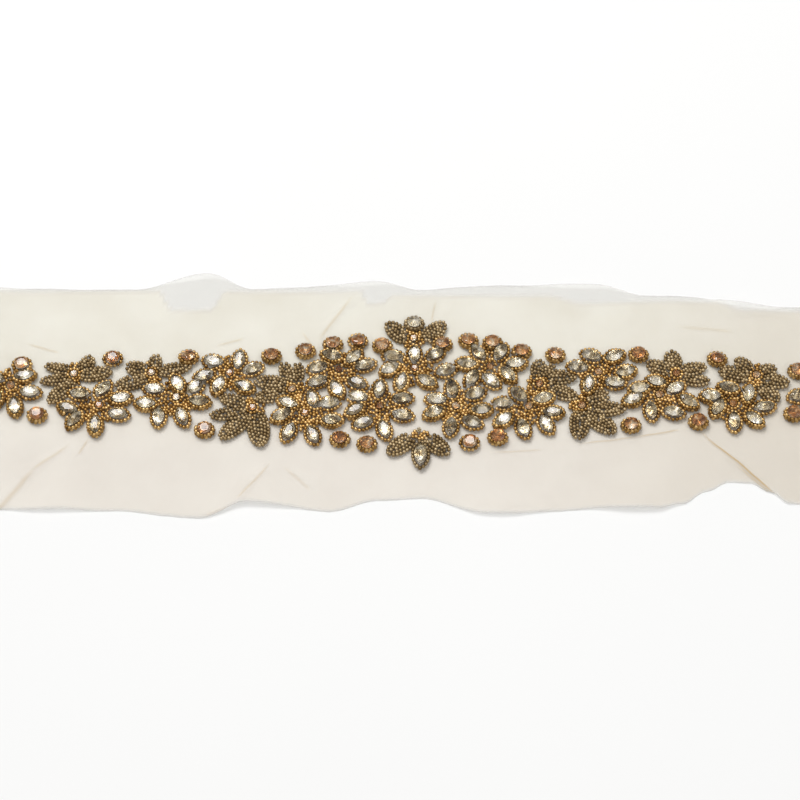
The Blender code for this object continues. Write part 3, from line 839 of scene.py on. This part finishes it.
def build_motif(name, motif, grounds, stones):
    """The beads, crystals and settings of one motif, in that order."""
    beads, crystals, settings = Form(), Form(), Form()
    ground = grounds[0]
    leafy = bool(motif["blades"])
    finish = PEWTER if leafy else GOLD
    size = navette_size(name)
    upper_margin = ROW_MARGIN - UPPER_ROW_IN
    for x, y, turn in motif["petals"]:
        set_navette(crystals, settings, x, y, turn, size)
        bezel(beads, grounds, navette_row(*size, ROW_MARGIN), navette_row(*size, upper_margin),
              (x, y, turn), stones[(x, y)], finish, not leafy and draw.random() < DOUBLE_SHARE)
    for x, y in motif["rings"]:
        glass = CLEAR if name in CLEAR_ROUNDS else CHAMPAGNE
        back = ROUND_LEAN if y > 0 else 0.0
        set_round(crystals, settings, x, y, ROUND_WIDTH, glass, ROUND_GIRDLE, ROUND_TABLE,
                  ROUND_FACETS, back)
        bezel(beads, grounds, ring_row(ROW_MARGIN), ring_row(upper_margin), (x, y, 0),
              stones[(x, y)], finish, draw.random() < RING_DOUBLE_SHARE, FAR_SIDE)
    if motif["heart"]:
        set_heart(name, beads, crystals, settings, ground, *motif["heart"], stones[motif["heart"]])
    for blade in motif["blades"]:
        blade_rows(beads, ground, *blade, PEWTER)
    if motif["heart"] and name not in BEAD_HEARTS:
        reach = LEAF_FILL if leafy else FLOWER_FILL
        for space, height in ((FILL_SPACE, BEAD_MIDDLE), (CLOSE_FILL_SPACE, BEAD_MIDDLE - FILL_DEPTH)):
            fill(beads, ground, *motif["heart"], reach, FILL_TRIES, height, GOLD, space)
    return beads, crystals, settings


# Finishes


def node_material(name):
    material = bpy.data.materials.new(name)
    material.use_nodes = True
    nodes = material.node_tree.nodes
    return material, nodes, material.node_tree.links, nodes["Principled BSDF"]


def noise(nodes, links, scale, detail=2.0):
    place = nodes.new("ShaderNodeTexCoord")
    texture = nodes.new("ShaderNodeTexNoise")
    texture.inputs["Scale"].default_value = scale
    texture.inputs["Detail"].default_value = detail
    links.new(place.outputs["Object"], texture.inputs["Vector"])
    return texture


def ramp(nodes, links, source, *stops):
    """A colour ramp: each stop is a place and a colour."""
    made = nodes.new("ShaderNodeValToRGB")
    elements = made.color_ramp.elements
    while len(elements) < len(stops):
        elements.new(0.5)
    for element, (place, colour) in zip(elements, stops):
        element.position = place
        element.color = (*colour, 1.0)
    links.new(source, made.inputs["Fac"])
    return made.outputs["Color"]


def attribute(nodes, name):
    made = nodes.new("ShaderNodeAttribute")
    made.attribute_name = name
    return made.outputs["Fac"]


def math_node(nodes, links, operation, *values):
    """An operation on numbers and on the outputs of other nodes."""
    made = nodes.new("ShaderNodeMath")
    made.operation = operation
    for socket, value in zip(made.inputs, values):
        if isinstance(value, float):
            socket.default_value = value
        else:
            links.new(value, socket)
    return made.outputs["Value"]


def smooth_range(nodes, links, value, start, end, top=1.0):
    """A factor that rises smoothly from nothing at the start to the top at the end."""
    made = nodes.new("ShaderNodeMapRange")
    made.interpolation_type = "SMOOTHSTEP"
    made.inputs["From Min"].default_value = start
    made.inputs["From Max"].default_value = end
    made.inputs["To Max"].default_value = top
    links.new(value, made.inputs["Value"])
    return made.outputs["Result"]


def bead_material(name, dark, middle, light, roughness):
    """Metal-coated glass beads, each of its own tone."""
    material, nodes, links, shader = node_material(name)
    tone = attribute(nodes, "tone")
    speckle = noise(nodes, links, 900.0).outputs["Fac"]
    mix = math_node(nodes, links, "MULTIPLY_ADD", speckle, 0.3, tone)
    colour = ramp(nodes, links, mix, (0.1, dark), (0.6, middle), (1.0, light))
    links.new(colour, shader.inputs["Base Color"])
    shader.inputs["Metallic"].default_value = 0.9
    shader.inputs["Roughness"].default_value = roughness
    return material


def glass_material(name, first, second):
    material, nodes, links, shader = node_material(name)
    texture = noise(nodes, links, 160.0)
    links.new(ramp(nodes, links, texture.outputs["Fac"], (0.3, first), (0.7, second)),
              shader.inputs["Base Color"])
    shader.inputs["Transmission Weight"].default_value = 1.0
    shader.inputs["Roughness"].default_value = 0.03
    shader.inputs["IOR"].default_value = 1.54
    return material


def foil_material(name, scale, roughness, *stops):
    """A patchy metal: behind a crystal, its dark and white patches are painted reflections and glints of
    the many small facets, over the foil's own tint; on the settings they are only uneven tone.
    """
    material, nodes, links, shader = node_material(name)
    texture = noise(nodes, links, scale, 1.0)
    links.new(ramp(nodes, links, texture.outputs["Fac"], *stops), shader.inputs["Base Color"])
    shader.inputs["Metallic"].default_value = 0.7
    shader.inputs["Roughness"].default_value = roughness
    return material


def golden_crease(nodes, links, place, x0, y0, x1, y1, width, strength):
    """A thin line of doubled weave from one point of the cloth to another, as a factor."""
    start = nodes.new("ShaderNodeVectorMath")
    start.operation = "SUBTRACT"
    start.inputs[1].default_value = (x0 * MM, (y0 + BEADWORK_SHIFT_Y + CLOTH_SHIFT_Y) * MM, 0.0)
    links.new(place, start.inputs[0])
    turned = nodes.new("ShaderNodeVectorRotate")
    turned.rotation_type = "Z_AXIS"
    turned.inputs["Angle"].default_value = -math.atan2(y1 - y0, x1 - x0)
    links.new(start.outputs["Vector"], turned.inputs["Vector"])
    axes = nodes.new("ShaderNodeSeparateXYZ")
    links.new(turned.outputs["Vector"], axes.inputs["Vector"])
    along, aside = axes.outputs["X"], math_node(nodes, links, "ABSOLUTE", axes.outputs["Y"])
    length = math.hypot(x1 - x0, y1 - y0) * MM
    begun = smooth_range(nodes, links, along, 0.0, length * GOLD_BEGUN)
    not_ended = smooth_range(nodes, links, along, length, length * GOLD_ENDING)
    across = smooth_range(nodes, links, aside, width * MM, 0.0, strength)
    lengthwise = math_node(nodes, links, "MULTIPLY", begun, not_ended)
    return math_node(nodes, links, "MULTIPLY", lengthwise, across)


def mixed(nodes, links, share, first, second):
    """A colour between two others."""
    made = nodes.new("ShaderNodeMix")
    made.data_type = "RGBA"
    links.new(share, made.inputs["Factor"])
    for socket, colour in ((made.inputs[6], first), (made.inputs[7], second)):
        if isinstance(colour, tuple):
            socket.default_value = (*colour, 1.0)
        else:
            links.new(colour, socket)
    return made.outputs[2]


def organza_material():
    """Sheer ivory cloth: fine threads let part of the light through, and folds look denser."""
    material, nodes, links, shader = node_material("organza_weave")
    place = nodes.new("ShaderNodeTexCoord").outputs["Object"]
    texture = noise(nodes, links, 26.0, 5.0)
    wander = nodes.new("ShaderNodeVectorMath")
    wander.operation = "MULTIPLY_ADD"
    wander.inputs[1].default_value = (GOLD_WANDER * MM, GOLD_WANDER * MM, 0.0)
    links.new(texture.outputs["Color"], wander.inputs[0])
    links.new(place, wander.inputs[2])
    line = attribute(nodes, "tone")
    for row in GOLDEN_CREASES:
        line = math_node(nodes, links, "MAXIMUM", line,
                         golden_crease(nodes, links, wander.outputs["Vector"], *row))
    far_side = ramp(nodes, links, texture.outputs["Fac"], (0.3, FAR_CLOTH), (0.7, FAR_CLOTH_DEEP))
    near_side = ramp(nodes, links, texture.outputs["Fac"], (0.3, NEAR_CLOTH), (0.7, NEAR_CLOTH_DEEP))
    body = mixed(nodes, links, attribute(nodes, "nearness"), far_side, near_side)
    body = mixed(nodes, links, attribute(nodes, "rightness"), body, RIGHT_CLOTH)
    margin = attribute(nodes, "margin")
    body = mixed(nodes, links, margin, body, MARGIN_CLOTH)
    links.new(mixed(nodes, links, line, body, CREASE_GOLD), shader.inputs["Base Color"])
    shader.inputs["Roughness"].default_value = 0.65
    shader.inputs["Sheen Weight"].default_value = 0.15
    shader.inputs["Specular IOR Level"].default_value = 0.2
    threads = nodes.new("ShaderNodeTexWave")
    threads.inputs["Scale"].default_value = THREAD_SCALE
    threads.inputs["Distortion"].default_value = 1.5
    links.new(place, threads.inputs["Vector"])
    dense = nodes.new("ShaderNodeMapRange")
    dense.inputs["To Min"].default_value = CLOTH_COVER - WEAVE_COVER
    dense.inputs["To Max"].default_value = CLOTH_COVER + WEAVE_COVER
    links.new(threads.outputs["Fac"], dense.inputs["Value"])
    opaque = math_node(nodes, links, "MULTIPLY_ADD", line, LINE_COVER, dense.outputs["Result"])
    thin = math_node(nodes, links, "MULTIPLY_ADD", margin, MARGIN_COVER - CLOTH_COVER, opaque)
    thin.node.use_clamp = True
    links.new(thin, shader.inputs["Alpha"])
    return material


def floor_material():
    material, nodes, links, shader = node_material("pale_floor")
    texture = noise(nodes, links, 3.0)
    dim, bright = (0.835, 0.835, 0.83), (0.855, 0.855, 0.85)
    links.new(ramp(nodes, links, texture.outputs["Fac"], (0.2, dim), (0.8, bright)),
              shader.inputs["Base Color"])
    shader.inputs["Roughness"].default_value = 0.9
    shader.inputs["Specular IOR Level"].default_value = 0.0
    return material


# Organza


def eased(value):
    value = np.clip(value, 0, 1)
    return value * value * (3 - 2 * value)


def between(table, x, column):
    """A column of a table at x, eased between its rows; x is an array."""
    places = [row[0] for row in table]
    values = [row[column] for row in table]
    index = np.clip(np.searchsorted(places, x) - 1, 0, len(places) - 2)
    low = np.take(places, index)
    high = np.take(places, index + 1)
    start = np.take(values, index)
    return start + (np.take(values, index + 1) - start) * eased((x - low) / (high - low))


def lift(x, y, edges):
    """Height that the lifted places of the two edges add at each point."""
    height = np.zeros_like(x)
    for place, side, rise, half_length in EDGE_LIFTS:
        along = np.clip(np.abs(x - place) / half_length, 0, 1)
        reach = np.clip(side * y - FLAT_HALF_WIDTH, 0, None)
        across = reach / (np.abs(edges[side]) - FLAT_HALF_WIDTH)
        height += rise * (0.5 + 0.5 * np.cos(math.pi * along)) * across ** 1.5
    return height


def creases(x, y):
    """Height that the creases add at each point."""
    height = np.zeros_like(x)
    for x0, y0, x1, y1, rise, width in CREASES:
        length = math.hypot(x1 - x0, y1 - y0)
        along = ((x - x0) * (x1 - x0) + (y - y0) * (y1 - y0)) / length ** 2
        wander = 1.6 * np.sin(along * 5.0 + x0)
        side = ((y - y0) * (x1 - x0) - (x - x0) * (y1 - y0)) / length + wander
        taper = eased(np.clip(along * 3.0, 0, 1) * np.clip((1.15 - along) * 6.0, 0, 1))
        spread = width * (0.6 + 0.7 * np.clip(along, 0, 1))
        height += 0.6 * rise * taper * np.exp(-(side / spread) ** 2)
    return height


def store(mesh, name, values):
    """Keep a value for each corner of the cloth's underside and of its top."""
    made = mesh.attributes.new(name, "FLOAT", "POINT")
    made.data.foreach_set("value", np.tile(values.ravel(), 2))


def strip_edges(columns):
    """The far edge, 1, and the near edge, -1, of the strip along its columns, slightly uneven."""
    uneven = np.random.default_rng(SEED)
    edges = {1: between(STRIP_EDGES, columns, 1), -1: between(STRIP_EDGES, columns, 2)}
    for side in edges:
        phase = uneven.uniform(0, 6, 4)
        slow = 0.4 * np.sin(columns / 15.0 + phase[0])
        fast = 0.15 * np.sin(columns / 5.3 + phase[1])
        edges[side] = edges[side] + slow + fast + uneven.normal(0, 0.05, len(columns))
    return edges


def cloth_heights(x, y, edges):
    """Height of the underside: raised by the threads in the beaded middle, low at the edges."""
    rest = eased((np.abs(y) - BEADED_HALF_WIDTH) / 24.0)
    rest = np.maximum(rest, eased((np.abs(x) - BEADED_HALF_LENGTH) / 26.0))
    under_beads = np.clip((44.0 - np.abs(y)) / 8.0, 0, 1)
    z = CLOTH_UNDER_BEADS + (CLOTH_AT_EDGE - CLOTH_UNDER_BEADS) * rest
    z = z + lift(x, y, edges) + creases(x, y) * (1 - under_beads)
    return z + 0.10 * np.sin(x / 17.0 + y / 23.0) * np.sin(y / 13.0) * rest + 0.08 * rest


def shell_triangles():
    """Triangles of the cloth's top, underside and rim; the corners of the underside come first."""
    width = CLOTH_ROWS + 1
    count = (CLOTH_COLUMNS + 1) * width
    i, j = np.meshgrid(np.arange(CLOTH_COLUMNS), np.arange(CLOTH_ROWS), indexing="ij")
    a = (i * width + j).ravel()
    b, c, d = a + width, a + width + 1, a + 1
    top = np.concatenate((np.stack((a, b, c), 1), np.stack((a, c, d), 1))) + count
    under = np.concatenate((np.stack((a, c, b), 1), np.stack((a, d, c), 1)))
    rim = [column * width for column in range(CLOTH_COLUMNS)]
    rim += [CLOTH_COLUMNS * width + row for row in range(CLOTH_ROWS)]
    rim += [column * width + CLOTH_ROWS for column in range(CLOTH_COLUMNS, 0, -1)]
    rim += list(range(CLOTH_ROWS, 0, -1))
    side = []
    for first, second in zip(rim, rim[1:] + rim[:1]):
        side += [(first, second, second + count), (first, second + count, first + count)]
    return np.concatenate((top, under, np.array(side)))


def organza():
    """The cloth, with where it is near, to the right or a pale margin kept for its finish."""
    columns = np.linspace(-STRIP_LENGTH / 2, STRIP_LENGTH / 2, CLOTH_COLUMNS + 1)
    shares = np.linspace(0, 1, CLOTH_ROWS + 1)
    edges = {side: row[:, None] for side, row in strip_edges(columns).items()}
    far, near = edges[1], edges[-1]
    y = near + (far - near) * shares[None, :]
    x = np.repeat(columns[:, None], CLOTH_ROWS + 1, axis=1)
    x = x + np.clip(np.abs(x) - STRIP_LENGTH / 2 + 2, 0, 2) / 2 * np.sign(x) * 0.4 * np.sin(y / 4.0)
    lower = np.stack((x, y, cloth_heights(x, y, edges)), axis=-1).reshape(-1, 3)
    to_edge = np.minimum(shares, 1 - shares)[None, :] * (far - near)
    thickness = CLOTH_THICKNESS * np.clip(0.25 + to_edge / HEM_TAPER, 0, 1)
    upper = np.array(lower)
    upper[:, 2] += np.broadcast_to(thickness, x.shape).ravel()
    form = Form()
    form.add(np.concatenate((lower, upper)) + np.array((0, CLOTH_SHIFT_Y, 0)), shell_triangles())
    past_hem = y - between(HEM_LINE, columns, 1)[:, None]
    tone = 0.1 * np.clip(1 - np.abs(past_hem) / PALE_LINE_WIDTH, 0, 1)
    form.tones[-1] = np.tile(tone.ravel(), 2)
    cloth = new_mesh("organza", form, [organza_material()], True)
    # Towards the right end the cloth turns darker and browner, starting sooner on the near side.
    rightness = 0.55 * eased((x - 90.0) / 130.0) + 0.2 * eased((x - 40.0) / 80.0) * (y < 0)
    margin = np.maximum(eased(1 - to_edge / PALE_EDGE_WIDTH), eased(past_hem / 5.0 + 0.5))
    store(cloth.data, "nearness", eased((30.0 - y) / 80.0))
    store(cloth.data, "rightness", rightness)
    store(cloth.data, "margin", margin)
    return cloth


# The belt

draw = random.Random(SEED)
gold = bead_material("gold_seed_beads", (0.225, 0.116, 0.03), (0.475, 0.285, 0.092),
                     (0.73, 0.49, 0.205), 0.34)
pewter = bead_material("pewter_seed_beads", (0.19, 0.125, 0.056), (0.345, 0.247, 0.125),
                       (0.51, 0.39, 0.225), 0.48)
setting = foil_material("setting_metal", 220.0, 0.3, (0.3, (0.42, 0.27, 0.11)), (0.7, (0.60, 0.42, 0.20)))
clear_glass = glass_material("clear_crystal", (0.97, 0.94, 0.87), (0.99, 0.98, 0.95))
# The beige middle stops are the foil's tint; the dark and the white patches are painted facet reflections
# and glints.
silver_foil_painted_glints = foil_material("silver_foil_painted_glints", 250.0, 0.22,
                            (0.37, (0.30, 0.225, 0.125)), (0.45, (0.64, 0.55, 0.39)),
                            (0.53, (0.90, 0.83, 0.68)), (0.62, (1.0, 0.975, 0.93)))
champagne_glass = glass_material("champagne_crystal", (0.98, 0.93, 0.86), (0.99, 0.97, 0.93))
# The orange and beige stops are the champagne tint; the dark brown and the near-white patches are painted
# facet reflections and glints.
champagne_foil_painted_glints = foil_material("champagne_foil_painted_glints", 300.0, 0.24,
                               (0.38, (0.32, 0.155, 0.055)), (0.48, (0.72, 0.41, 0.16)),
                               (0.58, (0.80, 0.63, 0.43)), (0.70, (0.97, 0.93, 0.86)))

cloth = organza()
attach(cloth, "root")
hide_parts("organza_strip")

# Where every crystal lies, before any bead is set; the lower and the upper rows share the crystals
motifs = motif_rows()
taken = []
ground = Ground(taken)
grounds = (ground, Ground(taken))
stones = {}
for name, motif in motifs.items():
    for x, y, turn in motif["petals"]:
        stones[(x, y)] = len(ground.stones)
        ground.add_stone(x, y, turn, *navette_size(name))
    for x, y in motif["rings"]:
        stones[(x, y)] = len(ground.stones)
        ground.add_stone(x, y, 0, ROUND_WIDTH, ROUND_WIDTH)
    if motif["heart"]:
        stones[motif["heart"]] = len(ground.stones)
        ground.add_stone(*motif["heart"], 0, HEART_WIDTH, HEART_WIDTH)
for name, (x, y) in BEAD_HEARTS.items():
    taken[stones[motifs[name]["heart"]]] = (x, y, 0.0, TINY_WIDTH, TINY_WIDTH)

glass = [clear_glass, silver_foil_painted_glints, champagne_glass, champagne_foil_painted_glints]
for name, motif in motifs.items():
    beads, crystals, settings = build_motif(name, motif, grounds, stones)
    for form, kind, materials, smooth, slot in (
            (beads, "beads", [gold, pewter], True, "pewter_beads" if motif["blades"] else "gold_beads"),
            (crystals, "crystals", glass, False, "crystal" if motif["petals"] else "champagne_crystal"),
            (settings, "settings", [setting], False, "gold_beads")):
        piece = new_mesh(f"{name}_{kind}", form, materials, smooth)
        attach(piece, "root")
        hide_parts(name)

# Floor, light and camera

FLOOR_HALF = 3.0
floor_mesh = bpy.data.meshes.new("floor")
corners = [(x * FLOOR_HALF, y * FLOOR_HALF, 0) for x, y in ((-1, -1), (1, -1), (1, 1), (-1, 1))]
floor_mesh.from_pydata(corners, [], [(0, 1, 2, 3)])
floor = bpy.data.objects.new("floor", floor_mesh)
floor.data.materials.append(floor_material())
bpy.context.scene.collection.objects.link(floor)


def area_light(name, place, size, power):
    """A soft white light, turned to the middle of the belt."""
    light = bpy.data.lights.new(name, "AREA")
    light.shape = "RECTANGLE"
    light.size, light.size_y = size
    light.energy = power
    made = bpy.data.objects.new(name, light)
    made.location = place
    made.rotation_euler = (-Vector(place)).to_track_quat("-Z", "Y").to_euler()
    bpy.context.scene.collection.objects.link(made)


area_light("key", (-0.8, 1.3, 2.8), (1.7, 1.2), 66.8)
area_light("fill", (0.9, -0.5, 1.3), (0.9, 0.9), 3.0)

world = bpy.data.worlds.new("studio")
bpy.context.scene.world = world
world.use_nodes = True
sky = world.node_tree.nodes
facing = sky.new("ShaderNodeTexCoord")
split = sky.new("ShaderNodeSeparateXYZ")
sky_links = world.node_tree.links
sky_links.new(facing.outputs["Generated"], split.inputs["Vector"])
shade = ramp(sky, sky_links, split.outputs["Z"],
             (0.0, (0.18, 0.17, 0.16)), (0.35, (0.42, 0.42, 0.41)), (0.8, (0.9, 0.9, 0.9)))
sky_links.new(shade, sky["Background"].inputs["Color"])
sky["Background"].inputs["Strength"].default_value = 0.75

# The picture is 800 pixels wide and shows 1.75 of them for a millimetre along the belt
ELEVATION = math.radians(63)
DISTANCE = 1.3
AIM = Vector((-10.286 * MM, -3.772 * MM, 0.0))
PIXELS_PER_MM = 1.75
PICTURE_WIDTH = 800
camera = bpy.data.cameras.new("camera")
camera.sensor_width = 36.0
camera.lens = PIXELS_PER_MM * DISTANCE / MM / PICTURE_WIDTH * camera.sensor_width
camera.clip_start = 0.05
camera.clip_end = 20.0
eye = bpy.data.objects.new("camera", camera)
eye.location = AIM + DISTANCE * Vector((0, -math.cos(ELEVATION), math.sin(ELEVATION)))
eye.rotation_euler = (math.pi / 2 - ELEVATION, 0, 0)
bpy.context.scene.collection.objects.link(eye)
bpy.context.scene.camera = eye
bpy.context.scene.view_settings.view_transform = "Standard"
